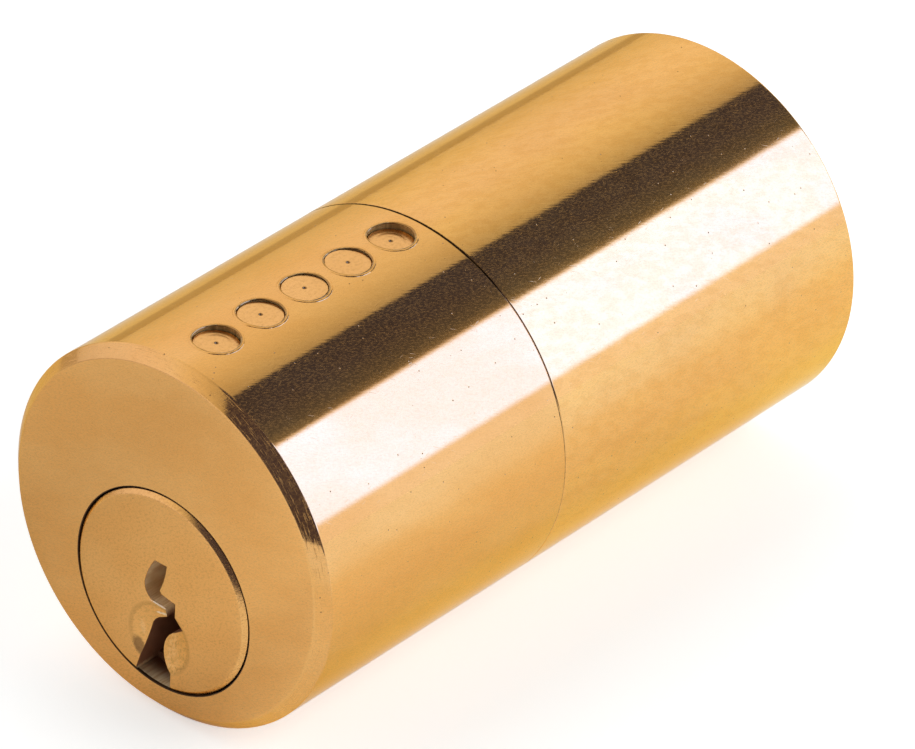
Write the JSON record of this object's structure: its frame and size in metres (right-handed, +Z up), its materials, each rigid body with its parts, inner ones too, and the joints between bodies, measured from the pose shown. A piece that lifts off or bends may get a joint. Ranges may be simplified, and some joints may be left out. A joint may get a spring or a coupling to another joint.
{
  "type": "pin tumbler lock cylinder",
  "caption": "Round brass pin tumbler lock cylinder: chamfered barrel with an offset turning plug and keyway, capped pin chambers along the top and a bolted rear extension.",
  "frame": {"origin": "centre of the rear face on the barrel's axis", "axes": "+Y along the barrel from the key face to the rear face, +Z up through the pin stacks, +X to the right as the key face is looked at"},
  "size_m": [0.025, 0.0502, 0.025],
  "materials": {
    "body_brass": "brushed",
    "plug_brass": "brushed",
    "cap_brass": "turned",
    "pin_brass": "turned",
    "pin_nickel_silver": "turned",
    "spring_steel": "drawn",
    "zinc_plated_steel": "plated",
    "black_oxide_steel": "blackened"
  },
  "bodies": {
    "housing": {"cylinder_body": "body_brass", "rear_extension": "body_brass", "joining_screw_left": "black_oxide_steel", "joining_screw_right": "black_oxide_steel", "chamber_cap_1": "cap_brass", "chamber_cap_2": "cap_brass", "chamber_cap_3": "cap_brass", "chamber_cap_4": "cap_brass", "chamber_cap_5": "cap_brass", "pin_spring_1": "spring_steel", "pin_spring_2": "spring_steel", "pin_spring_3": "spring_steel", "pin_spring_4": "spring_steel", "pin_spring_5": "spring_steel"},
    "plug": {"key_plug": "plug_brass", "plug_clip": "spring_steel", "drive_spindle": "zinc_plated_steel"},
    "key_pin_1": {"key_pin_1": "pin_brass"},
    "driver_1": {"driver_pin_1": "pin_nickel_silver"},
    "key_pin_2": {"key_pin_2": "pin_brass"},
    "driver_2": {"driver_pin_2": "pin_nickel_silver"},
    "key_pin_3": {"key_pin_3": "pin_brass"},
    "driver_3": {"driver_pin_3": "pin_nickel_silver"},
    "key_pin_4": {"key_pin_4": "pin_brass"},
    "driver_4": {"driver_pin_4": "pin_nickel_silver"},
    "key_pin_5": {"key_pin_5": "pin_brass"},
    "driver_5": {"driver_pin_5": "pin_nickel_silver"}
  },
  "joints": [
    {"name": "plug_turn", "type": "hinge", "parent": "housing", "child": "plug", "pos_m": [0, -0.05, -0.0036], "axis": [0, 1, 0], "continuous": true},
    {"name": "key_pin_1_slide", "type": "slide", "parent": "plug", "child": "key_pin_1", "axis": [0, 0, 1], "range_m": [-0.0012, 0]},
    {"name": "driver_pin_1_slide", "type": "slide", "parent": "housing", "child": "driver_1", "axis": [0, 0, 1], "range_m": [0, 0.0018], "stiffness_N_per_m": 210, "springref_m": -0.00332, "deforming": ["pin_spring_1"]},
    {"name": "key_pin_2_slide", "type": "slide", "parent": "plug", "child": "key_pin_2", "axis": [0, 0, 1], "range_m": [-0.0021, 0]},
    {"name": "driver_pin_2_slide", "type": "slide", "parent": "housing", "child": "driver_2", "axis": [0, 0, 1], "range_m": [0, 0.0009], "stiffness_N_per_m": 210, "springref_m": -0.00405, "deforming": ["pin_spring_2"]},
    {"name": "key_pin_3_slide", "type": "slide", "parent": "plug", "child": "key_pin_3", "axis": [0, 0, 1], "range_m": [-0.0006, 0]},
    {"name": "driver_pin_3_slide", "type": "slide", "parent": "housing", "child": "driver_3", "axis": [0, 0, 1], "range_m": [0, 0.0024], "stiffness_N_per_m": 210, "springref_m": -0.0025, "deforming": ["pin_spring_3"]},
    {"name": "key_pin_4_slide", "type": "slide", "parent": "plug", "child": "key_pin_4", "axis": [0, 0, 1], "range_m": [-0.0018, 0]},
    {"name": "driver_pin_4_slide", "type": "slide", "parent": "housing", "child": "driver_4", "axis": [0, 0, 1], "range_m": [0, 0.0012], "stiffness_N_per_m": 210, "springref_m": -0.0037, "deforming": ["pin_spring_4"]},
    {"name": "key_pin_5_slide", "type": "slide", "parent": "plug", "child": "key_pin_5", "axis": [0, 0, 1], "range_m": [-0.0009, 0]},
    {"name": "driver_pin_5_slide", "type": "slide", "parent": "housing", "child": "driver_5", "axis": [0, 0, 1], "range_m": [0, 0.0021], "stiffness_N_per_m": 210, "springref_m": -0.00308, "deforming": ["pin_spring_5"]}
  ]
}
